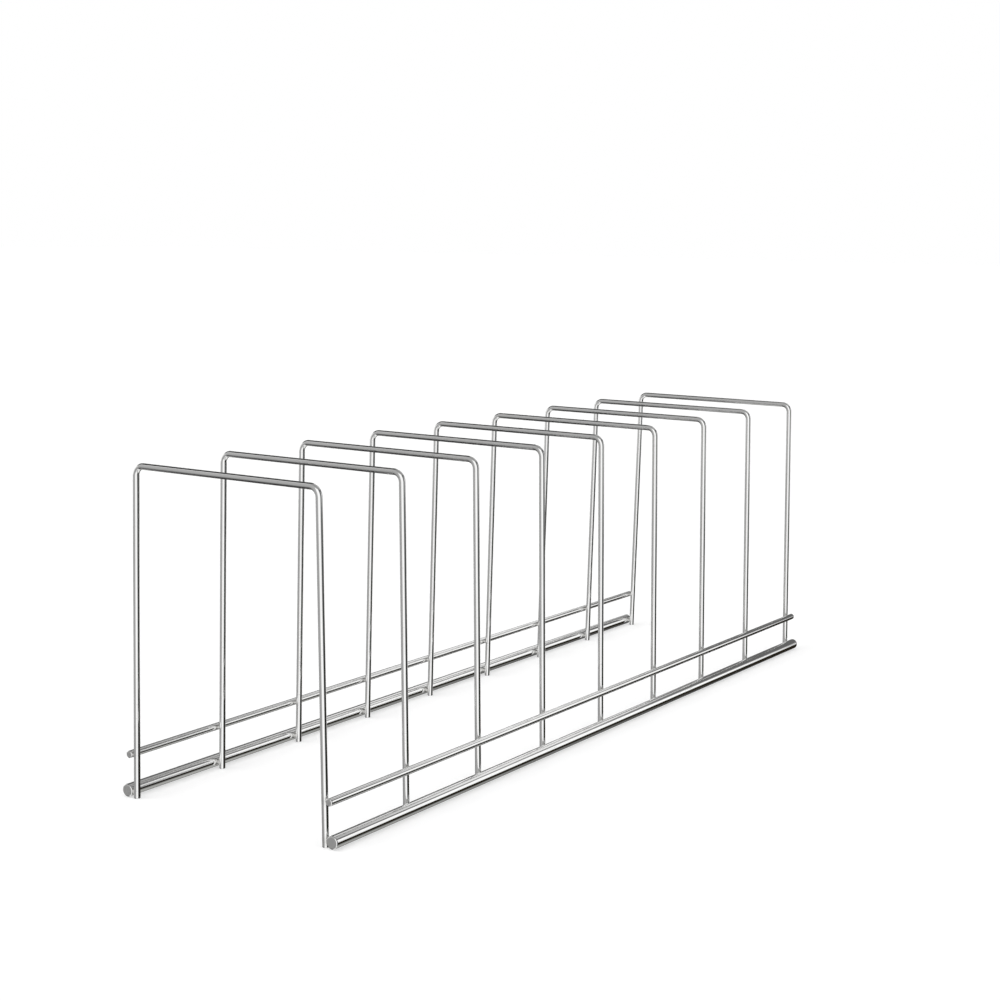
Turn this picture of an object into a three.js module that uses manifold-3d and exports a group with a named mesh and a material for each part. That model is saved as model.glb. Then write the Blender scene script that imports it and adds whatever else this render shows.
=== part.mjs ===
// Chromed wire plate rack: a row of upright wire hoops, welded at their feet to two pairs of rails.
// Millimetres, +Z up. The rack runs along Y, front at -Y, and each hoop stands across it in its own XZ plane.
// The origin is on the ground, in the middle of the rack's footprint.
import * as THREE from "three";
import { mergeVertices } from "three/addons/utils/BufferGeometryUtils.js";
import Module from "manifold-3d";

const wasm = await Module();
wasm.setup();

// Hoops: one bent wire each, with legs that spread a little towards the ground

const HOOP_COUNT = 9;
const HOOP_PITCH = 58; // centre to centre along the rack, so each plate slot is this less one wire
const HOOP_WIRE = 3; // wire diameter
const HOOP_RISE = 157.5; // ground to the centre line of the top bar
const HOOP_FOOT_SPREAD = 114; // centre line to centre line at the ground
const HOOP_TOP_SPREAD = 107.5; // the same, where the legs' lines meet the top bar's line
const HOOP_BEND = 4.5; // radius of the centre line in the two top corners
const HOOP_FOOT_CHAMFER = 0.4; // on the sheared ends that stand on the ground

// Rails: two straight rods along the outside of the legs on either side, a thick one below a thin one

const LOWER_ROD = 6; // diameter
const LOWER_ROD_END_ROUND = 0.5; // radius of the edge round each end face
const LOWER_ROD_GROUND_GAP = 0.3; // the legs carry the rack, so the rod stays just clear of the ground
const UPPER_ROD = 3.5; // diameter
const UPPER_ROD_END_ROUND = 0.45;
const RAIL_STEP = 17.7; // from the lower rod's centre line up to the upper rod's
const RAIL_END_PROUD = 0.3; // how far a rod's end stands past the first and last hoop's wire

// Welds: the metal squeezed out round the spot where a rail and a leg cross

const WELD_THROAT = 0.1; // its thickness where the two wires are closest
const WELD_CLEARANCE = 0.1; // left between the weld and each wire
const WELD_REACH = 1.35; // half its extent along the rail and up the leg
const WELD_BULGE = 0.75; // half its extent across the seam

// How finely round things are cut

const WIRE_SIDES = 16;
const ROD_SIDES = 24;
const BEND_STEPS = 6;
const END_ROUND_STEPS = 2;
const WELD_SIDES = 10;
const WELD_RINGS = 6;
const CUT_OVERRUN = 2; // how far a cutting tool runs past what it cuts

// Worked out from the sizes above

const wireRadius = HOOP_WIRE / 2;
const footX = HOOP_FOOT_SPREAD / 2;
const topX = HOOP_TOP_SPREAD / 2;
const legLean = Math.atan2(footX - topX, HOOP_RISE); // angle of a leg from the vertical
const seamGap = WELD_THROAT + 2 * WELD_CLEARANCE; // between a leg's surface and a rod's
const rackSpan = (HOOP_COUNT - 1) * HOOP_PITCH; // first hoop to last hoop
const railLength = rackSpan + HOOP_WIRE + 2 * RAIL_END_PROUD;
const lowerRailZ = LOWER_ROD_GROUND_GAP + LOWER_ROD / 2;
const upperRailZ = lowerRailZ + RAIL_STEP;

const chromedWire = new THREE.MeshStandardMaterial({ color: 0xc9cacc, roughness: 0.1, metalness: 1 });
const chromedRod = new THREE.MeshStandardMaterial({ color: 0xc4c6c8, roughness: 0.12, metalness: 1 });
const chromedWeld = new THREE.MeshStandardMaterial({ color: 0xb4b5b5, roughness: 0.3, metalness: 1 });

// A closed three.js geometry as a solid that can be cut
function solidOf(geometry) {
  const bare = geometry.clone();
  bare.deleteAttribute("normal");
  bare.deleteAttribute("uv");
  const merged = mergeVertices(bare);
  const mesh = new wasm.Mesh({
    numProp: 3,
    vertProperties: merged.attributes.position.array,
    triVerts: new Uint32Array(merged.index.array),
  });
  return new wasm.Manifold(mesh);
}

// A solid as a three.js geometry again
function geometryOf(solid) {
  const mesh = solid.getMesh();
  const geometry = new THREE.BufferGeometry();
  geometry.setAttribute("position", new THREE.BufferAttribute(mesh.vertProperties, 3));
  geometry.setIndex(new THREE.BufferAttribute(mesh.triVerts, 1));
  geometry.computeVertexNormals();
  return geometry;
}

function named(name, geometry, material) {
  const mesh = new THREE.Mesh(geometry, material);
  mesh.name = name;
  return mesh;
}

// A curve that an extrusion follows from one station to the next, however far apart they are,
// so that a straight stretch costs one step and a bend gets as many as it needs.
class StationCurve extends THREE.Curve {
  constructor(stations) {
    super();
    this.stations = stations;
  }

  station(u) {
    return this.stations[Math.round(u * (this.stations.length - 1))];
  }

  getPoint(u) {
    return this.station(u).point.clone();
  }

  getPointAt(u) {
    return this.getPoint(u);
  }

  getTangentAt(u) {
    return this.station(u).tangent.clone();
  }
}

// One top corner of the hoop, from the leg to the top bar. Side is 1 on the right and -1 on the left.
function bendStations(side) {
  const turn = Math.PI / 2 - legLean;
  const centreX = topX - HOOP_BEND * Math.tan(turn / 2);
  const stations = [];
  for (let k = 0; k <= BEND_STEPS; k += 1) {
    const angle = legLean + (turn * k) / BEND_STEPS; // 0 points out sideways, a quarter turn points up
    const outward = new THREE.Vector3(side * Math.cos(angle), 0, Math.sin(angle));
    const centre = new THREE.Vector3(side * centreX, 0, HOOP_RISE - HOOP_BEND);
    stations.push({
      point: centre.addScaledVector(outward, HOOP_BEND),
      tangent: new THREE.Vector3(-side * Math.sin(angle), 0, Math.cos(angle)),
    });
  }
  return stations;
}

// The end of a leg, run a little past the ground so that the foot can be cut level
function footStation(side) {
  const tangent = new THREE.Vector3(-side * Math.sin(legLean), 0, Math.cos(legLean));
  const point = new THREE.Vector3(side * footX, 0, 0).addScaledVector(tangent, -CUT_OVERRUN / 2);
  return { point, tangent };
}

// The right leg upwards, across the top, and the left leg downwards
function hoopLine() {
  const rising = [footStation(1), ...bendStations(1)];
  const falling = [footStation(-1), ...bendStations(-1)].reverse();
  for (const station of falling) {
    station.tangent.negate();
  }
  return new StationCurve([...rising, ...falling]);
}

// Takes away all that is below the ground, and the sharp edge round the foot
function footCutter(side) {
  const outer = wireRadius + CUT_OVERRUN;
  const profile = [
    new THREE.Vector2(0, -CUT_OVERRUN),
    new THREE.Vector2(outer, -CUT_OVERRUN),
    new THREE.Vector2(outer, HOOP_FOOT_CHAMFER + CUT_OVERRUN),
    new THREE.Vector2(wireRadius - HOOP_FOOT_CHAMFER, 0),
    new THREE.Vector2(0, 0),
  ];
  const cutter = new THREE.LatheGeometry(profile, WIRE_SIDES);
  cutter.rotateX(Math.PI / 2);
  cutter.translate(side * footX, 0, 0);
  return solidOf(cutter);
}

function hoopGeometry() {
  const section = new THREE.Shape().absarc(0, 0, wireRadius, 0, 2 * Math.PI);
  const line = hoopLine();
  const wire = new THREE.ExtrudeGeometry(section, {
    steps: line.stations.length - 1,
    curveSegments: WIRE_SIDES / 2,
    extrudePath: line,
  });
  return geometryOf(solidOf(wire).subtract(footCutter(1)).subtract(footCutter(-1)));
}

// A rod along Y with the edges of its two ends rounded over, centred on the origin
function rodGeometry(diameter, endRound) {
  const half = railLength / 2;
  const frontEdge = [];
  const backEdge = [];
  for (let k = 0; k <= END_ROUND_STEPS; k += 1) {
    const angle = ((Math.PI / 2) * k) / END_ROUND_STEPS; // 0 is on the end face, a quarter turn on the side
    const r = diameter / 2 - endRound * (1 - Math.sin(angle));
    const y = half - endRound * (1 - Math.cos(angle));
    frontEdge.push(new THREE.Vector2(r, -y));
    backEdge.unshift(new THREE.Vector2(r, y));
  }
  const frontCentre = new THREE.Vector2(0, -half);
  const backCentre = new THREE.Vector2(0, half);
  return new THREE.LatheGeometry([frontCentre, ...frontEdge, ...backEdge, backCentre], ROD_SIDES);
}

// How far out a rod's centre line is, so that it clears the leaning legs by the seam gap at its height
function rodX(diameter, z) {
  const apart = wireRadius + seamGap + diameter / 2;
  return footX + (apart - z * Math.sin(legLean)) / Math.cos(legLean);
}

// A weld in its own frame: +X points from the leg to the rod, Z runs up the leg, the seam is at the origin
function weldGeometry(rodDiameter) {
  const bead = new THREE.SphereGeometry(1, WELD_SIDES, WELD_RINGS);
  bead.scale(WELD_BULGE, WELD_REACH, WELD_REACH);
  const toolLength = 2 * (WELD_REACH + CUT_OVERRUN);

  const legRadius = wireRadius + WELD_CLEARANCE;
  const leg = new THREE.CylinderGeometry(legRadius, legRadius, toolLength, WIRE_SIDES);
  leg.rotateX(Math.PI / 2);
  leg.translate(-seamGap / 2 - wireRadius, 0, 0);

  const rodRadius = rodDiameter / 2 + WELD_CLEARANCE;
  const rod = new THREE.CylinderGeometry(rodRadius, rodRadius, toolLength, ROD_SIDES);
  rod.translate(seamGap / 2 + rodDiameter / 2, 0, 0);
  return geometryOf(solidOf(bead).subtract(solidOf(leg)).subtract(solidOf(rod)));
}

// Hoop 0 is at the front
function hoopY(k) {
  return k * HOOP_PITCH - rackSpan / 2;
}

function hoops() {
  const group = new THREE.Group();
  const geometry = hoopGeometry();
  for (let k = 0; k < HOOP_COUNT; k += 1) {
    const hoop = named(`hoop_${k + 1}`, geometry, chromedWire);
    hoop.position.y = hoopY(k);
    group.add(hoop);
  }
  return group;
}

// The left and right rails at one height, and the welds that hold every leg to them
function railPair(level, diameter, endRound, z) {
  const group = new THREE.Group();
  const x = rodX(diameter, z);
  const rod = rodGeometry(diameter, endRound);
  const weld = weldGeometry(diameter);
  const toSeam = diameter / 2 + seamGap / 2; // from the rod's centre line to the middle of the seam
  for (const [sideName, side] of [["left", -1], ["right", 1]]) {
    const rail = named(`${level}_rail_${sideName}`, rod, chromedRod);
    rail.position.set(side * x, 0, z);
    group.add(rail);
    for (let k = 0; k < HOOP_COUNT; k += 1) {
      const bead = named(`weld_${level}_${sideName}_${k + 1}`, weld, chromedWeld);
      const seamX = x - toSeam * Math.cos(legLean);
      bead.position.set(side * seamX, hoopY(k), z - toSeam * Math.sin(legLean));
      bead.rotation.set(0, -side * legLean, side < 0 ? Math.PI : 0);
      group.add(bead);
    }
  }
  return group;
}

const rack = new THREE.Group();
rack.add(hoops());
rack.add(railPair("lower", LOWER_ROD, LOWER_ROD_END_ROUND, lowerRailZ));
rack.add(railPair("upper", UPPER_ROD, UPPER_ROD_END_ROUND, upperRailZ));

export default rack;
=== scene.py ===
# %% [markdown]
# A chromed wire plate rack
#
# This lesson builds a plate rack from bent wire and straight rod, plates it with chrome, and sets it in a
# small studio. Its sizes come from a fixed frame, which is a plain model of the same rack made by a CAD
# script. This script may hide a piece of the frame and stand in for it, but it never moves one. Blender
# adds what the plain model lacks: rounder wire, soft sheared ends, weld metal, and the marks of a wire that
# has been drawn, straightened, plated, polished and handled.

import math
import random

import bpy
from mathutils import Matrix, Vector


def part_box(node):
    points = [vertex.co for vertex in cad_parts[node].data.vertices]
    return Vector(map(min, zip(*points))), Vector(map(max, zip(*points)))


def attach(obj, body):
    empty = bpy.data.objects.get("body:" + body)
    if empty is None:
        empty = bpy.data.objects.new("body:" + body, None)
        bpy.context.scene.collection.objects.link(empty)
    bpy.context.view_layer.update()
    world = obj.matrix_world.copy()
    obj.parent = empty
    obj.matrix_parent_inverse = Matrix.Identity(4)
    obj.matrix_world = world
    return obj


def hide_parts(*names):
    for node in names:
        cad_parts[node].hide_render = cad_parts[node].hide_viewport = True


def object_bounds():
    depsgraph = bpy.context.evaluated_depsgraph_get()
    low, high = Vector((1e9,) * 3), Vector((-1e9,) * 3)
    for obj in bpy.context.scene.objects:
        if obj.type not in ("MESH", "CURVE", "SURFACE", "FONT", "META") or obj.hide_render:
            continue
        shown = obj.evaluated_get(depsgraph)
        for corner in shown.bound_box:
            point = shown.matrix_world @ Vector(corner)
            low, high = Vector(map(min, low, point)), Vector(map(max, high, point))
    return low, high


PRINTED_DIGITS = 4


def shown(values):
    """Numbers cut short for printing."""
    return [round(value, PRINTED_DIGITS) for value in values]


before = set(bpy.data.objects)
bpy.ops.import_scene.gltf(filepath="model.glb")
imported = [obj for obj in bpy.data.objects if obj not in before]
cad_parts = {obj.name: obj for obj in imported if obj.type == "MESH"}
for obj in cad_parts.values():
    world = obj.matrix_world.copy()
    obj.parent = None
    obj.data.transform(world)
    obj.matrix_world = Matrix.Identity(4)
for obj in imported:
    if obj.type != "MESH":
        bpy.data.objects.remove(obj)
cad_low, cad_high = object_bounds()
print("CAD pieces:", len(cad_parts))
print("CAD box in metres:", shown(cad_high - cad_low))

# %% [markdown]
# Reading the sizes
#
# A scene that repeats sizes by hand drifts away from its CAD model. Here each size that the frame can tell
# is measured on the frame's own pieces: how thick each wire is, where each hoop stands, how far apart the
# rails are. Only what a bounding box can't show, such as the radius of a bend, is written down again.

# %% Measure the frame
MM = 0.001  # lengths are in metres


def size_of(node):
    low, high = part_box(node)
    return high - low


def middle_of(node):
    low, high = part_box(node)
    return (low + high) / 2


def place_in_row(node):
    return middle_of(node).y


hoop_names = sorted((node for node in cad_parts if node.startswith("hoop_")), key=place_in_row)
rail_names = sorted(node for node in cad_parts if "_rail_" in node)
weld_names = sorted(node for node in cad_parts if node.startswith("weld_"))

rack_length = cad_high.y - cad_low.y
wire_radius = size_of("hoop_1").y / 2
top_bar_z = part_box("hoop_1")[1].z - wire_radius
hoop_pitch = place_in_row("hoop_2") - place_in_row("hoop_1")
print(f"{len(hoop_names)} hoops of {2 * wire_radius / MM:.1f} mm wire, {hoop_pitch / MM:.0f} mm apart")
print(f"{len(rail_names)} rails and {len(weld_names)} welds")

# %% Sizes that a box can't show
FOOT_SPREAD = 114 * MM  # between the centre lines of a hoop's legs, at the ground
TOP_SPREAD = 107.5 * MM  # the same, where the legs' lines meet the top bar's line
BEND_RADIUS = 4.5 * MM  # of the centre line, in the two top corners
FOOT_ROUND = 0.4 * MM  # on the sheared edge of a hoop's feet
END_ROUNDS = {"lower": 0.5 * MM, "upper": 0.45 * MM}  # on the edge round each end face of a rail

leg_lean = math.atan2((FOOT_SPREAD - TOP_SPREAD) / 2, top_bar_z)
print(f"the legs lean in by {math.degrees(leg_lean):.2f} degrees")

# %% [markdown]
# Meshes with a memory
#
# Wire is drawn straight through a die, which leaves fine lines along it, and it is bent afterwards. A
# texture that follows those lines has to know where each point lay before the bending. So every mesh that
# is made here carries an attribute named `straight_place`: two coordinates across the wire and one along
# it, as if it were still straight. A second attribute, `near_weld`, is 1 at a weld and falls to 0 a little
# way off, where the heat no longer reached. Ready-made cylinders could be bent by modifiers, but it is hard
# to give those exact bends and rounded ends. A mesh here is a stack of rings, which is all that wire, rod
# and weld metal need.

# %% Measure how near a weld is
WELD_HALO = 4.5 * MM  # how far round a weld its heat reached

weld_places = [middle_of(node) for node in weld_names]


def nearness_to_weld(point):
    """1 in the middle of a weld, and 0 from the end of its halo on."""
    nearest = min((point - place).length for place in weld_places)
    return max(0.0, 1.0 - nearest / WELD_HALO)


print(f"{len(weld_places)} welds, with a halo of {WELD_HALO / MM:.1f} mm round each")


# %% Store values on a mesh, and put things in the scene
def store_numbers(mesh, name, numbers):
    attribute = mesh.attributes.new(name, "FLOAT", "POINT")
    attribute.data.foreach_set("value", numbers)


def store_vectors(mesh, name, vectors):
    attribute = mesh.attributes.new(name, "FLOAT_VECTOR", "POINT")
    attribute.data.foreach_set("vector", [x for vector in vectors for x in vector])


def put_in_scene(name, data):
    """A new object that holds a mesh, a lamp or a camera."""
    thing = bpy.data.objects.new(name, data)
    bpy.context.scene.collection.objects.link(thing)
    return thing


print("helpers: store_numbers, store_vectors, put_in_scene")


# %% Turn rings of points into a piece
def skin(rings):
    """Quads from each ring to the next, and a flat face on the first and the last."""
    sides = len(rings[0])
    faces = [list(reversed(range(sides)))]
    for i in range(len(rings) - 1):
        low, high = i * sides, (i + 1) * sides
        for k in range(sides):
            after = (k + 1) % sides
            faces.append([low + k, low + after, high + after, high + k])
    faces.append([(len(rings) - 1) * sides + k for k in range(sides)])
    return faces


def make_piece(name, rings, replaced):
    """Each ring is a list of (point, place in the straight wire). The piece stands for one CAD node."""
    points = [point for ring in rings for point, _ in ring]
    mesh = bpy.data.meshes.new(name)
    mesh.from_pydata(points, [], skin(rings))
    store_vectors(mesh, "straight_place", [place for ring in rings for _, place in ring])
    store_numbers(mesh, "near_weld", [nearness_to_weld(point) for point in points])
    mesh.shade_smooth()
    piece = put_in_scene(name, mesh)
    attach(piece, "root")
    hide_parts(replaced)
    return piece


print("helpers: skin, make_piece")

# %% [markdown]
# The hoops
#
# On the real rack each hoop is one length of wire, bent twice. In Blender a curve with a round bevel would
# give that shape at once, but not the memory of the straight wire, nor the slightly oval section that a
# bend leaves. So each ring gets a centre, a direction that points out of the hoop, and a place along the
# wire. The feet are sheared off level with the ground, and tumbling and plating leave a small round on
# their edges.

# %% Places along a wire, close together near its welds
COARSE_STEP = 8 * MM
FINE_STEP = 1 * MM
FINE_REACH = 6 * MM  # how far from a weld the rings stand close together


def places_along(low, high, marks):
    """Numbers from low to high, closer near each mark, so that a weld's halo has points to fade on."""
    count = math.ceil((high - low) / COARSE_STEP)
    places = {low + (high - low) * k / count for k in range(count + 1)}
    fine = round(FINE_REACH / FINE_STEP)
    for mark in marks:
        near = {mark + FINE_STEP * k for k in range(-fine, fine + 1)}
        places |= {place for place in near if low + FINE_STEP / 2 < place < high - FINE_STEP / 2}
    ordered = sorted(places)
    kept = [ordered[0]]
    for place in ordered[1:-1]:
        if place - kept[-1] > FINE_STEP / 2 and high - place > FINE_STEP / 2:
            kept.append(place)
    return kept + [ordered[-1]]


print(f"rings stand {COARSE_STEP / MM:.0f} mm apart, and {FINE_STEP / MM:.0f} mm near a weld")

# %% The rounded edge of a flat end
ROUND_STEPS = 5
FLAT_SHARE = 0.97  # of a flat end's radius, where one more ring keeps the smooth shading off the flat


def rounded_edge(radius, edge):
    """(height above the flat end, ring radius), from just inside the flat to the full radius."""
    profile = [(0.0, (radius - edge) * FLAT_SHARE)]
    for k in range(ROUND_STEPS + 1):
        angle = math.pi / 2 * k / ROUND_STEPS
        profile.append((edge * (1 - math.cos(angle)), radius - edge * (1 - math.sin(angle))))
    return profile


print("rings on a foot's edge:", len(rounded_edge(wire_radius, FOOT_ROUND)))

# %% Where the legs and the bends lie
HEIGHT_DIGITS = 6  # a left and a right rail's heights are one height once they are rounded like this


def leg_x(z):
    """How far out a leg's centre line is at height z."""
    return FOOT_SPREAD / 2 - z * math.tan(leg_lean)


rail_heights = sorted({round(middle_of(node).z, HEIGHT_DIGITS) for node in rail_names})
sideways = Vector((1, 0, 0))
upwards = Vector((0, 0, 1))
leg_normal = Vector((math.cos(leg_lean), 0, math.sin(leg_lean)))
bend_turn = math.pi / 2 - leg_lean
bend_x = TOP_SPREAD / 2 - BEND_RADIUS * math.tan(bend_turn / 2)
bend_centre = Vector((bend_x, 0, top_bar_z - BEND_RADIUS))
print("heights of the rails, in metres:", rail_heights)
print("centre of the right bend, in metres:", shown(bend_centre))

# %% The line of a hoop
BEND_STEPS = 20


def right_half_of_hoop():
    """From the right foot to the middle of the top bar: (centre, normal, radius, how far into the bend)."""
    stations = []
    for z, radius in rounded_edge(wire_radius, FOOT_ROUND):
        stations.append((Vector((leg_x(z), 0, z)), sideways, radius, 0.0))
    leg_top = (bend_centre + leg_normal * BEND_RADIUS).z
    for z in places_along(2 * FOOT_ROUND, leg_top, rail_heights)[:-1]:
        stations.append((Vector((leg_x(z), 0, z)), leg_normal, wire_radius, 0.0))
    for k in range(BEND_STEPS + 1):
        angle = leg_lean + bend_turn * k / BEND_STEPS
        normal = Vector((math.cos(angle), 0, math.sin(angle)))
        stations.append((bend_centre + normal * BEND_RADIUS, normal, wire_radius, k / BEND_STEPS))
    for x in places_along(0.0, bend_x, [])[-2::-1]:
        stations.append((Vector((x, 0, top_bar_z)), upwards, wire_radius, 0.0))
    return stations


def mirrored(vector):
    return Vector((-vector.x, vector.y, vector.z))


def whole_hoop():
    """The right half, and then the same stations mirrored, down to the left foot."""
    right = right_half_of_hoop()
    left = [(mirrored(centre), mirrored(normal), *rest) for centre, normal, *rest in right[-2::-1]]
    return right + left


hoop_line = whole_hoop()
print("rings in a hoop:", len(hoop_line))

# %% Bend the hoops
HOOP_SIDES = 40
FLATTENING_SHARE = 0.03  # of the wire's radius, that a bend takes off one way and adds the other way


def build_hoop(node):
    """Rings of points round the hoop's line, each point with its place in the straight wire."""
    y = place_in_row(node)
    rings = []
    along = 0.0
    before = None
    for centre, normal, radius, bent in hoop_line:
        along += (centre - before).length if before else 0.0
        before = centre
        oval = FLATTENING_SHARE * math.sin(math.pi * bent)
        ring = []
        for k in range(HOOP_SIDES):
            angle = 2 * math.pi * k / HOOP_SIDES
            out, beside = radius * math.cos(angle), radius * math.sin(angle)
            offset = normal * (out * (1 - oval)) + Vector((0, y + beside * (1 + oval), 0))
            ring.append((centre + offset, (out, beside, along)))
        rings.append(ring)
    print(f"{node}: {along / MM:.0f} mm of wire")
    return make_piece(node + "_wire", rings, node)


hoops = [build_hoop(node) for node in hoop_names]

# %% [markdown]
# The rails
#
# The rails are straight rods, cut to length and laid along the outside of the legs. A cylinder with a bevel
# would look much the same, but a bevel can't add rings near the welds. A rod is a turned shape, so here it
# is the same ring over and over, with a rounded edge before each flat end face. The lower rod is thick and
# stiffens the rack, and the upper one is thin.

# %% Cut the rails
ROD_SIDES = 56

hoop_places = [place_in_row(node) for node in hoop_names]


def rod_profile(radius, half_length, end_round):
    """(distance from the middle, ring radius), from the front end to the back end."""
    front = [(depth - half_length, edge_radius) for depth, edge_radius in rounded_edge(radius, end_round)]
    inner = half_length - 2 * end_round
    middle = [(y, radius) for y in places_along(-inner, inner, hoop_places)]
    back = [(-y, edge_radius) for y, edge_radius in reversed(front)]
    return front + middle + back


def build_rail(node):
    level = node.split("_")[0]
    centre, size = middle_of(node), size_of(node)
    rings = []
    for y, radius in rod_profile(size.x / 2, size.y / 2, END_ROUNDS[level]):
        ring = []
        for k in range(ROD_SIDES):
            angle = -2 * math.pi * k / ROD_SIDES
            across, up = radius * math.cos(angle), radius * math.sin(angle)
            ring.append((centre + Vector((across, y, up)), (across, up, y)))
        rings.append(ring)
    print(f"{node}: {size.y / MM:.1f} mm long, {size.x / MM:.1f} mm thick")
    return make_piece(node + "_rod", rings, node)


rails = [build_rail(node) for node in rail_names]

# %% [markdown]
# The welds
#
# Where a leg crosses a rail, a welding machine squeezes the two and sends a current through the spot. The
# metal softens, and a little of it is pushed out round the seam. It cools as a small hollow-sided collar,
# which hugs a standing wire on one side and a lying rod on the other. A squashed ball would be quick to
# make, but it would bulge where the collar is narrow. So each collar is worked out from those two
# cylinders. Its ends follow their surfaces, just below them, so that no gap shows. A few slow waves, seeded
# by the weld's number, make every collar a little different, as they are on the real rack.

# %% Where a weld sits
def seam_of(node):
    """The seam's middle, the direction from leg to rod, half the gap between them, the rod's radius."""
    level, side = node.split("_")[1:3]
    rail = f"{level}_rail_{side}"
    sign = 1 if side == "right" else -1
    outward = Vector((sign * leg_normal.x, 0, leg_normal.z))
    rod_radius = size_of(rail).x / 2
    rod_centre = middle_of(rail)
    rod_centre.y = place_in_row(node)
    rod_face = rod_centre - outward * rod_radius
    leg_centre = Vector((sign * leg_x(rod_centre.z), rod_centre.y, rod_centre.z))
    half_gap = ((rod_face - leg_centre).dot(outward) - wire_radius) / 2
    return rod_face - outward * half_gap, outward, half_gap, rod_radius


def hollow(radius, offset):
    """How far a cylinder's surface has dropped away at an offset from its nearest line."""
    return radius - math.sqrt(max(0.0, radius ** 2 - offset ** 2))


_, _, half_gap, _ = seam_of(weld_names[0])
print(f"gap between a leg and a rod: {2 * half_gap / MM:.2f} mm")

# %% The steps and the waves of a collar
WELD_STEPS = 10
CAP_SHARES = (0.3, 0.65)  # of the collar's reach, for the rings that close it inside the wires
WAVE_COUNTS = (2, 3, 5)  # waves in one turn round the collar


def collar_steps():
    """(share of the reach, share of the way from leg to rod): a closing, the seam, and a closing."""
    near = [(share, 0.0) for share in CAP_SHARES]
    seam = [(1.0, k / WELD_STEPS) for k in range(WELD_STEPS + 1)]
    far = [(share, 1.0) for share in reversed(CAP_SHARES)]
    return near + seam + far


def wave_at(angle, phases):
    """From -1 to 1: the slow waves' average at one place round the collar."""
    waves = [math.sin(n * angle + phase) for n, phase in zip(WAVE_COUNTS, phases)]
    return sum(waves) / len(waves)


print("rings in a collar:", len(collar_steps()))

# %% Squeeze out the welds
WELD_SIDES = 48
WELD_SINK = 0.05 * MM  # how deep the collar's edges lie under the wires' surfaces
WAIST_SHARE = 0.74  # of the collar's reach, at its narrowest
WAVE_SHARE = 0.08  # of the collar's reach, that the waves add or take


def build_weld(number, node):
    """A collar from the leg's surface to the rod's, with a waist between and slow waves round it."""
    centre, outward, half_gap, rod_radius = seam_of(node)
    dice = random.Random(number)
    phases = [dice.uniform(0, 2 * math.pi) for _ in WAVE_COUNTS]
    reach = size_of(node).y / 2
    rearwards = Vector((0, 1, 0))
    climb = outward.cross(rearwards)
    rings = []
    for share, through in collar_steps():
        waist = 1 - (1 - WAIST_SHARE) * math.sin(math.pi * through)
        ring = []
        for k in range(WELD_SIDES):
            angle = 2 * math.pi * k / WELD_SIDES
            spread = reach * share * (1 + WAVE_SHARE * wave_at(angle, phases))
            y, z = spread * math.cos(angle), spread * math.sin(angle)
            start = -half_gap - hollow(wire_radius, y) - WELD_SINK
            end = half_gap + hollow(rod_radius, z) + WELD_SINK
            x = start + (end - start) * through
            point = centre + outward * x + rearwards * (y * waist) + climb * (z * waist)
            ring.append((point, (y * waist, z * waist, x)))
        rings.append(ring)
    return make_piece(node + "_bead", rings, node)


welds = [build_weld(number, node) for number, node in enumerate(weld_names)]
print(f"{len(welds)} welds, each about {size_of(weld_names[0]).y / MM:.1f} mm across")

# %% [markdown]
# Building shaders in code
#
# A material is a small graph of nodes. It can be drawn by hand in the shader editor, but then it can't be
# read, repeated or compared as text. A few helpers keep the rest of the lesson short. They feed a socket,
# do sums, make noise, map one range of values to another and read an attribute of the mesh. Two more start
# a node group with named inputs and outputs, and place it in a material.

# %% Helpers for node trees
NOISE_ROUGHNESS = 0.55


def connect(tree, source, socket):
    """Feed a socket from another socket, or set it to a plain value."""
    if isinstance(source, bpy.types.NodeSocket):
        tree.links.new(source, socket)
    else:
        socket.default_value = source


def add_sum(tree, operation, first, second=0.0, clamp=False):
    node = tree.nodes.new("ShaderNodeMath")
    node.operation = operation
    node.use_clamp = clamp
    connect(tree, first, node.inputs[0])
    connect(tree, second, node.inputs[1])
    return node.outputs[0]


def add_noise(tree, place, scale, detail):
    node = tree.nodes.new("ShaderNodeTexNoise")
    connect(tree, place, node.inputs["Vector"])
    connect(tree, scale, node.inputs["Scale"])
    connect(tree, detail, node.inputs["Detail"])
    connect(tree, NOISE_ROUGHNESS, node.inputs["Roughness"])
    return node.outputs[0]


def add_range(tree, value, low, high, to_low=0.0, to_high=1.0):
    node = tree.nodes.new("ShaderNodeMapRange")
    labels = ("Value", "From Min", "From Max", "To Min", "To Max")
    for label, source in zip(labels, (value, low, high, to_low, to_high)):
        connect(tree, source, node.inputs[label])
    return node.outputs[0]


def add_attribute(tree, name, output):
    node = tree.nodes.new("ShaderNodeAttribute")
    node.attribute_name = name
    return node.outputs[output]


print("helpers: connect, add_sum, add_noise, add_range, add_attribute")


# %% Start and place a node group
def new_group(name, inputs, outputs):
    """Inputs are label: default, where None stands for a vector. Outputs are labels of plain numbers."""
    group = bpy.data.node_groups.new(name, "ShaderNodeTree")
    for label, default in inputs.items():
        kind = "NodeSocketVector" if default is None else "NodeSocketFloat"
        socket = group.interface.new_socket(label, in_out="INPUT", socket_type=kind)
        if default is not None:
            socket.default_value = default
    for label in outputs:
        group.interface.new_socket(label, in_out="OUTPUT", socket_type="NodeSocketFloat")
    start = group.nodes.new("NodeGroupInput")
    end = group.nodes.new("NodeGroupOutput")
    print("group:", name)
    return group, start.outputs, end.inputs


def place_group(tree, group, **inputs):
    """Put a group into a material. An input's label has underscores here in place of its spaces."""
    node = tree.nodes.new("ShaderNodeGroup")
    node.node_tree = group
    for label, source in inputs.items():
        connect(tree, source, node.inputs[label.replace("_", " ")])
    return node.outputs


print("helpers: new_group, place_group")

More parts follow.
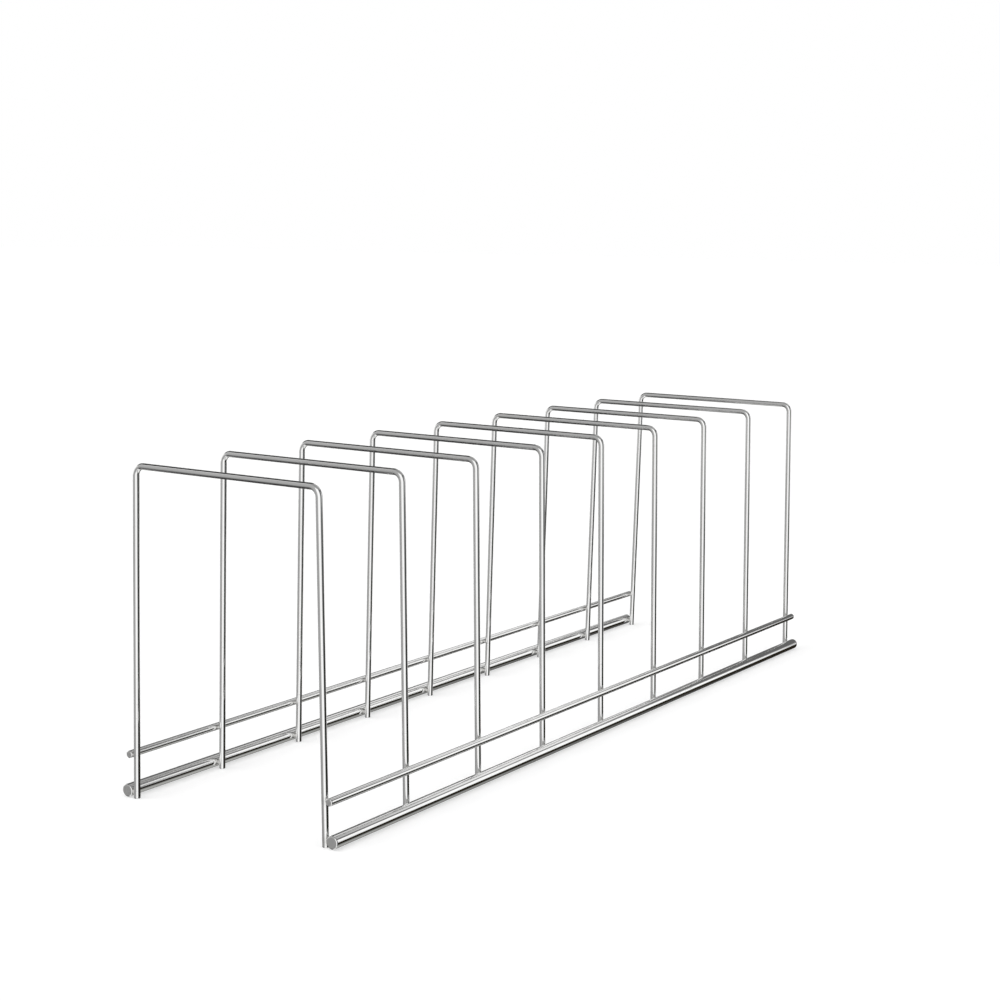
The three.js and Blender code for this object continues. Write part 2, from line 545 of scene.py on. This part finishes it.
# %% [markdown]
# Die lines
#
# The die lines run along the wire for a long way and change quickly across it. A wave texture would space
# them evenly, which no die does. A noise texture turns into such lines when its space is squeezed along the
# wire, so the third coordinate of the straight place is scaled down. Broad lines and fine ones are added
# up, because a worn die leaves both.

# %% Group: die lines
LINES_PER_METRE = 1500.0  # unless a finish says otherwise
LINE_STRETCH_SHARE = 0.003  # how fast the lines change along the wire, against across it
BROAD_SHARE = 0.6  # of the height, that the broad lines make
BROAD_DETAIL = 0.0
FINE_LINES_PER_BROAD = 2.7
FINE_DETAIL = 2.0
DULL_LINE_SHARES = (0.5, 0.72)  # of the noise's range, where a line starts to be dull and is fully dull

die_lines, start, end = new_group(
    "Die lines", {"Straight place": None, "Lines per metre": LINES_PER_METRE}, ["Height", "Dullness"]
)
squeeze = die_lines.nodes.new("ShaderNodeVectorMath")
squeeze.operation = "MULTIPLY"
connect(die_lines, start["Straight place"], squeeze.inputs[0])
connect(die_lines, (1, 1, LINE_STRETCH_SHARE), squeeze.inputs[1])
broad = add_noise(die_lines, squeeze.outputs[0], start["Lines per metre"], BROAD_DETAIL)
many = add_sum(die_lines, "MULTIPLY", start["Lines per metre"], FINE_LINES_PER_BROAD)
fine = add_noise(die_lines, squeeze.outputs[0], many, FINE_DETAIL)
broad_height = add_sum(die_lines, "MULTIPLY", broad, BROAD_SHARE)
fine_height = add_sum(die_lines, "MULTIPLY", fine, 1 - BROAD_SHARE)
connect(die_lines, add_sum(die_lines, "ADD", broad_height, fine_height), end["Height"])
connect(die_lines, add_range(die_lines, fine, *DULL_LINE_SHARES), end["Dullness"])

# %% [markdown]
# Straightening marks
#
# Rod comes off a coil and is spun through a straightener, whose jaws leave a faint spiral on it. A spiral
# could be cut into the mesh, but it is far too shallow for that. The angle round the rod, plus a share of
# the distance along it, gives such a spiral in the shader. Noise makes it come and go.

# %% Group: straightening marks
TURNS_PER_METRE = 160.0
PATCHES_PER_METRE = 90.0
PATCH_DETAIL = 2.0
PATCH_SHARES = (0.42, 0.62)  # of the noise's range, where the spiral starts to show and shows fully

straightening, start, end = new_group(
    "Straightening marks", {"Straight place": None, "Turns per metre": TURNS_PER_METRE}, ["Height"]
)
parts = straightening.nodes.new("ShaderNodeSeparateXYZ")
connect(straightening, start["Straight place"], parts.inputs[0])
around = add_sum(straightening, "ARCTAN2", parts.outputs["Y"], parts.outputs["X"])
turns = add_sum(straightening, "MULTIPLY", parts.outputs["Z"], start["Turns per metre"])
phase = add_sum(straightening, "MULTIPLY", turns, 2 * math.pi)
spiral = add_sum(straightening, "SINE", add_sum(straightening, "ADD", around, phase))
patches = add_noise(straightening, start["Straight place"], PATCHES_PER_METRE, PATCH_DETAIL)
fading = add_range(straightening, patches, *PATCH_SHARES)
connect(straightening, add_sum(straightening, "MULTIPLY", spiral, fading), end["Height"])

# %% [markdown]
# Haze and scratches
#
# Polish is never even. Slow clouds make some stretches a touch hazier than others, at the size of a
# fingertip. Hairline scratches come from handling, and cross the wire at a slant. They could be thin
# strips of mesh, but hundreds would be needed. Two sets of stretched noise, cut off so that only their
# crests are left, lie across each other like real ones.

# %% Group: haze and scratches
CLOUDS_PER_METRE = 60.0  # unless a finish says otherwise
CLOUD_DETAIL = 4.0
CLOUD_SHARES = (0.4, 0.7)  # of the noise's range, where haze starts and is full
SCRATCHES_PER_METRE = 900.0
SCRATCH_DETAIL = 2.0
SCRATCH_SHARES = (0.66, 0.72)  # of the noise's range, where a crest starts to be a scratch and is one
SCRATCH_STRETCH_SHARE = 0.05  # how fast a scratch changes along its length, against across it
SCRATCH_SLANTS = ((0.5, 0.3, 0.9), (-0.7, 1.1, -0.4))  # radians about X, Y and Z, one for each set

handling, start, end = new_group(
    "Haze and scratches",
    {"Place": None, "Clouds per metre": CLOUDS_PER_METRE, "Scratches per metre": SCRATCHES_PER_METRE},
    ["Haze", "Scratch"],
)
cloud = add_noise(handling, start["Place"], start["Clouds per metre"], CLOUD_DETAIL)
connect(handling, add_range(handling, cloud, *CLOUD_SHARES), end["Haze"])
crests = []
for slant in SCRATCH_SLANTS:
    turned = handling.nodes.new("ShaderNodeMapping")
    connect(handling, start["Place"], turned.inputs["Vector"])
    connect(handling, slant, turned.inputs["Rotation"])
    connect(handling, (1, SCRATCH_STRETCH_SHARE, 1), turned.inputs["Scale"])
    crest = add_noise(handling, turned.outputs[0], start["Scratches per metre"], SCRATCH_DETAIL)
    crests.append(add_range(handling, crest, *SCRATCH_SHARES))
connect(handling, add_sum(handling, "MAXIMUM", *crests), end["Scratch"])

# %% [markdown]
# Weld halo
#
# A weld's heat roughens the steel round it, and the plating on top follows. A plain ramp from the weld
# outwards would do from afar, but heat never spreads in a perfect circle. So the halo fades with the
# distance, and noise breaks up its edge.

# %% Group: weld halo
SPECKLES_PER_METRE = 1400.0
SPECKLE_DETAIL = 3.0
SPECKLE_SHARE = 0.8  # of the nearness, that the noise can take away
HALO_SHARES = (-0.1, 0.35)  # of the nearness that is left, where the halo starts and is full

weld_halo, start, end = new_group(
    "Weld halo", {"Place": None, "Near weld": 0.0, "Speckles per metre": SPECKLES_PER_METRE}, ["Halo"]
)
speckle = add_noise(weld_halo, start["Place"], start["Speckles per metre"], SPECKLE_DETAIL)
taken = add_sum(weld_halo, "MULTIPLY", speckle, SPECKLE_SHARE)
broken = add_sum(weld_halo, "SUBTRACT", start["Near weld"], taken)
connect(weld_halo, add_range(weld_halo, broken, *HALO_SHARES), end["Halo"])

# %% [markdown]
# The chrome
#
# Plated chrome is a metal. It has no colour beneath its surface, only a tinted mirror on top. Its roughness
# is low, and goes up where a line, a cloud, a scratch or a halo says so. The tint moves between two near
# greys, because a dull place looks a little darker. A painted picture of such marks would blur when the
# camera comes close, but nodes stay sharp. One recipe with four sets of numbers serves wire, rod, weld and
# shorn end: the rod has the deepest lines, the wire has finer ones, weld metal stays grainy under its
# plating, and a shorn end is dull all over.

# %% The tint and the relief
BRIGHT = (0.95, 0.95, 0.945, 1)
DULL = (0.74, 0.735, 0.72, 1)
MIX_FACTOR, MIX_FIRST, MIX_SECOND, MIX_RESULT = 0, 6, 7, 2  # the Mix node's sockets when it mixes colours


def add_tint(tree, dull):
    node = tree.nodes.new("ShaderNodeMix")
    node.data_type = "RGBA"
    connect(tree, dull, node.inputs[MIX_FACTOR])
    connect(tree, BRIGHT, node.inputs[MIX_FIRST])
    connect(tree, DULL, node.inputs[MIX_SECOND])
    return node.outputs[MIX_RESULT]


def add_bump(tree, height, depth, normal=None):
    node = tree.nodes.new("ShaderNodeBump")
    connect(tree, height, node.inputs["Height"])
    connect(tree, depth, node.inputs["Distance"])
    if normal:
        connect(tree, normal, node.inputs["Normal"])
    return node.outputs["Normal"]


print("helpers: add_tint, add_bump")

# %% A recipe for plated chrome
DULLING_SHARES = (0.15, 0.2, 0.4, 0.7)  # of full dullness, from a die line, haze, a scratch and a halo
DULL_ROUGHNESS = 0.2  # what is added to the roughness where the plating is dullest
GRAINS_PER_METRE = 3500.0
GRAIN_DETAIL = 3.0


def chrome(name, gloss, lines, clouds, line_depth, spiral_depth, grain_depth, base_dullness):
    """Gloss is the roughness where the plating is brightest. Lines and clouds are counted per metre."""
    material = bpy.data.materials.new(name)
    material.use_nodes = True
    tree = material.node_tree
    shader = tree.nodes["Principled BSDF"].inputs
    straight = add_attribute(tree, "straight_place", "Vector")
    near = add_attribute(tree, "near_weld", "Fac")
    place = tree.nodes.new("ShaderNodeTexCoord").outputs["Object"]

    drawn = place_group(tree, die_lines, Straight_place=straight, Lines_per_metre=lines)
    spun = place_group(tree, straightening, Straight_place=straight)
    worn = place_group(tree, handling, Place=place, Clouds_per_metre=clouds)
    heated = place_group(tree, weld_halo, Place=place, Near_weld=near)

    dull = base_dullness
    masks = (drawn["Dullness"], worn["Haze"], worn["Scratch"], heated["Halo"])
    for mask, share in zip(masks, DULLING_SHARES):
        dull = add_sum(tree, "ADD", add_sum(tree, "MULTIPLY", mask, share), dull, clamp=True)
    connect(tree, 1.0, shader["Metallic"])
    connect(tree, add_tint(tree, dull), shader["Base Color"])
    connect(tree, add_range(tree, dull, 0.0, 1.0, gloss, gloss + DULL_ROUGHNESS), shader["Roughness"])

    grain = add_noise(tree, place, GRAINS_PER_METRE, GRAIN_DETAIL)
    normal = add_bump(tree, drawn["Height"], line_depth)
    normal = add_bump(tree, spun["Height"], spiral_depth, normal)
    connect(tree, add_bump(tree, grain, grain_depth, normal), shader["Normal"])
    print("material:", name)
    return material


print("helper: chrome")

# %% Mix the four finishes
MICRON = 0.001 * MM

FINISHES = {
    "Chromed wire": {
        "gloss": 0.05, "lines": 1800, "clouds": 45, "base_dullness": 0.0,
        "line_depth": 10 * MICRON, "spiral_depth": 0.6 * MICRON, "grain_depth": 0.6 * MICRON,
    },
    "Chromed rod": {
        "gloss": 0.04, "lines": 1300, "clouds": 30, "base_dullness": 0.0,
        "line_depth": 35 * MICRON, "spiral_depth": 1 * MICRON, "grain_depth": 0.6 * MICRON,
    },
    "Chromed weld": {
        "gloss": 0.12, "lines": 1500, "clouds": 300, "base_dullness": 0.2,
        "line_depth": 6 * MICRON, "spiral_depth": 0.5 * MICRON, "grain_depth": 40 * MICRON,
    },
    "Chromed shorn end": {
        "gloss": 0.22, "lines": 3000, "clouds": 400, "base_dullness": 0.5,
        "line_depth": 10 * MICRON, "spiral_depth": 0.5 * MICRON, "grain_depth": 12 * MICRON,
    },
}

finishes = {name: chrome(name, **values) for name, values in FINISHES.items()}

# %% Plate every piece
OWN_SLOT, SHORN_SLOT = 0, 1  # the two places in a wire's or a rod's list of materials


def plate(piece, sides, own):
    """Its own finish all over, but the shorn one on its flat ends and the faces round them."""
    piece.data.materials.append(finishes[own])
    piece.data.materials.append(finishes["Chromed shorn end"])
    last = len(piece.data.polygons) - 1
    for index, face in enumerate(piece.data.polygons):
        shorn = index <= sides or index >= last - sides
        face.material_index = SHORN_SLOT if shorn else OWN_SLOT


for piece in hoops:
    plate(piece, HOOP_SIDES, "Chromed wire")
for piece in rails:
    plate(piece, ROD_SIDES, "Chromed rod")
for piece in welds:
    piece.data.materials.append(finishes["Chromed weld"])
print("plated pieces:", len(hoops) + len(rails) + len(welds))

# %% [markdown]
# The studio and its floor
#
# The rack stands on a pale floor in a white studio. Rays from the camera, mirrors and glass see the studio
# at a strength of 1, which is white, while the light that it throws is half as strong. About half of the
# floor's brightness is light that falls on it, and the rest is a glow that only those same rays see. So the
# floor meets the white background, and still shows the rack's shadow. Stronger lamps would whiten the
# floor too, but then the pale parts of the shadow would turn white with it.

# %% Light the studio
WHITE = (1, 1, 1, 1)
STUDIO_LIGHT = 0.5  # the studio's strength for the rays that don't see it directly


def seen_directly(tree):
    """1 for the rays of the camera, of mirrors and of glass, and 0 for the rest."""
    path = tree.nodes.new("ShaderNodeLightPath").outputs
    first = add_sum(tree, "MAXIMUM", path["Is Camera Ray"], path["Is Glossy Ray"])
    return add_sum(tree, "MAXIMUM", first, path["Is Transmission Ray"])


def empty_tree(owner):
    owner.use_nodes = True
    owner.node_tree.nodes.clear()
    return owner.node_tree


def build_studio():
    world = bpy.data.worlds.new("White studio")
    bpy.context.scene.world = world
    tree = empty_tree(world)
    output = tree.nodes.new("ShaderNodeOutputWorld")
    background = tree.nodes.new("ShaderNodeBackground")
    strength = add_range(tree, seen_directly(tree), 0.0, 1.0, STUDIO_LIGHT, 1.0)
    connect(tree, WHITE, background.inputs["Color"])
    connect(tree, strength, background.inputs["Strength"])
    connect(tree, background.outputs[0], output.inputs["Surface"])
    return world


world = build_studio()
print("world:", world.name)

# %% Lay the floor
FLOOR_SHARE = 60  # the floor's side, as a multiple of the rack's length
FLOOR_DROP = 0.1 * MM  # so that the feet and the floor don't share a plane
FLOOR_COLOUR = (0.56, 0.56, 0.56, 1)
FLOOR_GLOW = 0.48  # what the floor adds of its own, for the rays that see it directly
CORNER_SIGNS = ((-1, -1), (1, -1), (1, 1), (-1, 1))


def floor_paint():
    material = bpy.data.materials.new("Pale floor")
    tree = empty_tree(material)
    output = tree.nodes.new("ShaderNodeOutputMaterial")
    paint = tree.nodes.new("ShaderNodeBsdfDiffuse")
    glow = tree.nodes.new("ShaderNodeEmission")
    both = tree.nodes.new("ShaderNodeAddShader")
    connect(tree, FLOOR_COLOUR, paint.inputs["Color"])
    connect(tree, add_range(tree, seen_directly(tree), 0.0, 1.0, 0.0, FLOOR_GLOW), glow.inputs["Strength"])
    connect(tree, paint.outputs[0], both.inputs[0])
    connect(tree, glow.outputs[0], both.inputs[1])
    connect(tree, both.outputs[0], output.inputs["Surface"])
    return material


def build_floor():
    half = FLOOR_SHARE * rack_length / 2
    mesh = bpy.data.meshes.new("studio_floor")
    corners = [(half * x, half * y, -FLOOR_DROP) for x, y in CORNER_SIGNS]
    mesh.from_pydata(corners, [], [list(range(len(corners)))])
    mesh.materials.append(floor_paint())
    floor = put_in_scene("studio_floor", mesh)
    return floor


floor = build_floor()
print("floor in metres:", shown(floor.dimensions))

# %% [markdown]
# Soft lamps
#
# Two wide, distant lamps light the floor from above, one stronger than the other. A small lamp would throw
# a hard shadow, and a near one would light the floor unevenly. Their own shapes would show as hard streaks
# on the wires, so the metal doesn't mirror them.

# %% Lamps
RIGHT_ANGLE = 90  # degrees
LAMPS = {
    "key_lamp": {"azimuth": -35, "elevation": 62, "spread": 35, "strength": 1.1},
    "fill_lamp": {"azimuth": 75, "elevation": 70, "spread": 50, "strength": 0.7},
}


def towards(azimuth, elevation):
    """A direction, from degrees: the azimuth turns from the rack's front to its right."""
    around, rise = math.radians(azimuth), math.radians(elevation)
    level = math.cos(rise)
    return Vector((math.sin(around) * level, -math.cos(around) * level, math.sin(rise)))


def add_lamp(name, azimuth, elevation, spread, strength):
    """Angles are in degrees. The spread is the width of the lamp in the sky."""
    light = bpy.data.lights.new(name, "SUN")
    light.angle = math.radians(spread)
    light.energy = strength
    lamp = put_in_scene(name, light)
    lamp.rotation_mode = "QUATERNION"
    lamp.rotation_quaternion = towards(azimuth, elevation).to_track_quat("Z", "Y")
    lamp.visible_glossy = False
    print(f"{name}: {strength:.2f} from {elevation} degrees up")


for name, values in LAMPS.items():
    add_lamp(name, **values)

# %% [markdown]
# Reflection cards
#
# Bright metal shows only what stands round it, and in a white studio alone it would fade away. A
# photographer hangs cards round such a product, and so does this lesson: greys in front and on the left,
# dark ones on the right and overhead, greys low down that end in a warm dark line, and light and dark
# patches behind. The white studio shows between them. A picture of a real studio would be quicker, but then
# no single card could be moved. Each card is a patch of a sphere, so far away that every wire sees it in
# nearly the same direction. It hangs a little nearer than the card before, so it covers that one where they
# cross. The cards are seen in reflections only: they light nothing and throw no shadow. The floor is left
# out of the reflections, because it would hide the low cards.

# %% Soft edges and greys
def soft_step(value, low, high):
    """0 up to low and 1 from high on, with a smooth curve between."""
    share = min(1.0, max(0.0, (value - low) / (high - low)))
    return share * share * (3 - 2 * share)


def soft_cover(value, limits, edge):
    """1 between the limits and 0 outside them, with a soft edge of a given width centred on each."""
    low, high = limits
    rise = soft_step(value, low - edge / 2, low + edge / 2)
    return rise * (1 - soft_step(value, high - edge / 2, high + edge / 2))


def grey_at(elevation, greys):
    """The grey at an elevation, between the pairs of (elevation, grey) on either side."""
    if elevation <= greys[0][0]:
        return greys[0][1]
    for (low, first), (high, second) in zip(greys, greys[1:]):
        if elevation <= high:
            return first + (second - first) * (elevation - low) / (high - low)
    return greys[-1][1]


print("helpers: soft_step, soft_cover, grey_at")


# %% Paint for the cards
def card_paint():
    """The card's own grey where it covers, and clear where it has faded out."""
    material = bpy.data.materials.new("Reflection card")
    tree = empty_tree(material)
    output = tree.nodes.new("ShaderNodeOutputMaterial")
    glow = tree.nodes.new("ShaderNodeEmission")
    clear = tree.nodes.new("ShaderNodeBsdfTransparent")
    mix = tree.nodes.new("ShaderNodeMixShader")
    connect(tree, add_attribute(tree, "card_colour", "Color"), glow.inputs["Color"])
    connect(tree, add_attribute(tree, "card_cover", "Fac"), mix.inputs[0])
    connect(tree, clear.outputs[0], mix.inputs[1])
    connect(tree, glow.outputs[0], mix.inputs[2])
    connect(tree, mix.outputs[0], output.inputs["Surface"])
    return material


card_material = card_paint()
print("material:", card_material.name)

# %% The mesh of a card
COLUMN_STEP = 4  # degrees between a card's columns of points
ROW_STEP = 2  # degrees between its rows, which are closer because the greys change from row to row


def steps_between(low, high, step):
    """Places from low to high, as even as can be, and no more than a step apart."""
    count = math.ceil((high - low) / step)
    return [low + (high - low) * k / count for k in range(count + 1)]


def grid_faces(rows, columns):
    """Quads between the points of a grid that is stored row by row."""
    faces = []
    for i in range(rows - 1):
        for k in range(columns - 1):
            first = i * columns + k
            faces.append([first, first + 1, first + columns + 1, first + columns])
    return faces


def card_mesh(name, distance, azimuths, elevations, edges, greys, tint):
    """A patch of a sphere round the rack, which stores a colour and a cover at each point."""
    centre = (cad_low + cad_high) / 2
    az_edge, el_edge = edges
    columns = steps_between(azimuths[0] - az_edge / 2, azimuths[1] + az_edge / 2, COLUMN_STEP)
    bottom = max(-RIGHT_ANGLE, elevations[0] - el_edge / 2)
    top = min(RIGHT_ANGLE, elevations[1] + el_edge / 2)
    rows = steps_between(bottom, top, ROW_STEP)
    points, colours, covers = [], [], []
    for elevation in rows:
        grey = grey_at(elevation, greys)
        row_cover = soft_cover(elevation, elevations, el_edge)
        for azimuth in columns:
            points.append(centre + towards(azimuth, elevation) * distance)
            colours.append([grey * part for part in tint])
            covers.append(soft_cover(azimuth, azimuths, az_edge) * row_cover)
    mesh = bpy.data.meshes.new(name)
    mesh.from_pydata(points, [], grid_faces(len(rows), len(columns)))
    store_vectors(mesh, "card_colour", colours)
    store_numbers(mesh, "card_cover", covers)
    return mesh


print("helpers: steps_between, grid_faces, card_mesh")

# %% Choose the cards
NEUTRAL = (1, 1, 1)
COOL = (0.94, 0.97, 1.0)
WARM = (1.0, 0.82, 0.50)
GREENISH = (0.99, 1.0, 0.965)
BEYOND = 200  # degrees, which is past the back and past the poles, so that a card has no edge there

# All angles are in degrees. For each card there are the azimuths and the elevations of its limits, the
# widths of its soft edges across and up, its tint, and then pairs of an elevation and the grey there.
CARDS = {
    "ceiling_card": ((-BEYOND, BEYOND), (56, BEYOND), (10, 10), NEUTRAL, (56, 0.30)),
    "low_front_card": ((-20, 78), (-BEYOND, -50), (20, 14), NEUTRAL, (-90, 0.5)),
    "left_card": (
        (-62, 5), (-40, 62), (14, 14), NEUTRAL,
        (-30, 0.30), (-12, 0.38), (0, 0.42), (60, 0.42),
    ),
    "low_left_card": (
        (-150, -36), (-62, -6), (20, 6), NEUTRAL,
        (-44, 0.03), (-30, 0.15), (-14, 0.36),
    ),
    "rear_left_card": ((-148, -70), (20, 66), (4, 12), NEUTRAL, (20, 0.04)),
    "low_right_card": (
        (76, 218), (-62, -20), (10, 4), GREENISH,
        (-46, 0.44), (-42, 0.38), (-38, 0.29), (-34, 0.18), (-30, 0.10), (-26, 0.045),
    ),
    "low_rear_card": (
        (172, 218), (-62, -20), (16, 4), GREENISH,
        (-46, 0.36), (-42, 0.29), (-38, 0.20), (-34, 0.12), (-30, 0.055), (-26, 0.02),
    ),
    "dark_line_card": ((76, 218), (-27, -6.5), (10, 4), WARM, (0, 0.018)),
    "rear_line_card": ((167, 212), (-18, -9), (6, 4), NEUTRAL, (0, 0.85)),
    "right_card": ((79, 131), (-48, 54), (8, 10), COOL, (-14, 0.02), (-7, 0.12), (50, 0.10)),
    "upper_right_card": ((118, 162), (24.5, 56), (12, 5), NEUTRAL, (24, 0.13)),
    "rear_light_card": ((153, 211), (30, 60), (8, 5), NEUTRAL, (38, 0.83), (43, 0.37)),
    "rear_dark_card": ((154, 200), (-9, 30), (4, 4), NEUTRAL, (0, 0.13)),
    "rear_side_card": ((196, 209), (-9, 20), (4, 4), NEUTRAL, (0, 0.13)),
    "behind_card": ((-148, -120), (-34, 40), (4, 8), NEUTRAL, (8, 0.04), (20, 0.16)),
}
print("cards to hang:", len(CARDS))

# %% Hang the cards
CARD_DISTANCE_SHARE = 9  # of the rack's length, out to the first card
CARD_GAP_SHARE = 0.1  # of the same, from each card to the next one in front of it


def hang_card(number, name, azimuths, elevations, edges, tint, *greys):
    distance = (CARD_DISTANCE_SHARE - CARD_GAP_SHARE * number) * rack_length
    mesh = card_mesh(name, distance, azimuths, elevations, edges, greys, tint)
    mesh.materials.append(card_material)
    card = put_in_scene(name, mesh)
    card.visible_camera = False
    card.visible_diffuse = False
    card.visible_transmission = False
    card.visible_volume_scatter = False
    card.visible_shadow = False
    print(f"{name}: {len(mesh.vertices)} points")


for number, (name, values) in enumerate(CARDS.items()):
    hang_card(number, name, *values)
floor.visible_glossy = False

# %% [markdown]
# The camera
#
# The photograph was taken from the right of the rack's front end, a little above it. A camera could be
# moved by eye until the picture fits, but then an error in the lens can hide an error in the distance. So
# the angles and the lens were worked out from the straight edges of the wires, whose directions meet at far
# points and so fix the view. The aim is the point on the line of sight that lies nearest to the rack's
# middle.

# %% Place the camera
CAMERA_AZIMUTH = 33.926  # degrees, from the rack's front to its right
CAMERA_ELEVATION = 8.674  # degrees
CAMERA_ROLL = 0.71  # degrees
CAMERA_DISTANCE = 0.9853  # metres, from the aim
CAMERA_AIM = (-0.0103, 0.0001, 0.1181)  # metres
SENSOR_WIDTH = 36.0  # millimetres, as Blender counts sensors and lenses
FOCAL_SHARE = 1.7885  # focal length as a share of the sensor's width

camera_data = bpy.data.cameras.new("camera")
camera_data.sensor_width = SENSOR_WIDTH
camera_data.lens = FOCAL_SHARE * SENSOR_WIDTH
camera = put_in_scene("camera", camera_data)
roll = math.radians(CAMERA_ROLL)
back = towards(CAMERA_AZIMUTH, CAMERA_ELEVATION)
right = towards(CAMERA_AZIMUTH + RIGHT_ANGLE, 0)
up = back.cross(right)
rolled_right = right * math.cos(roll) + up * math.sin(roll)
rolled_up = up * math.cos(roll) - right * math.sin(roll)
turn = Matrix((rolled_right, rolled_up, back)).transposed()
camera.matrix_world = Matrix.Translation(Vector(CAMERA_AIM) + back * CAMERA_DISTANCE) @ turn.to_4x4()
bpy.context.scene.camera = camera
bpy.context.scene.view_settings.view_transform = "Standard"
print("camera at", shown(camera.matrix_world.translation))
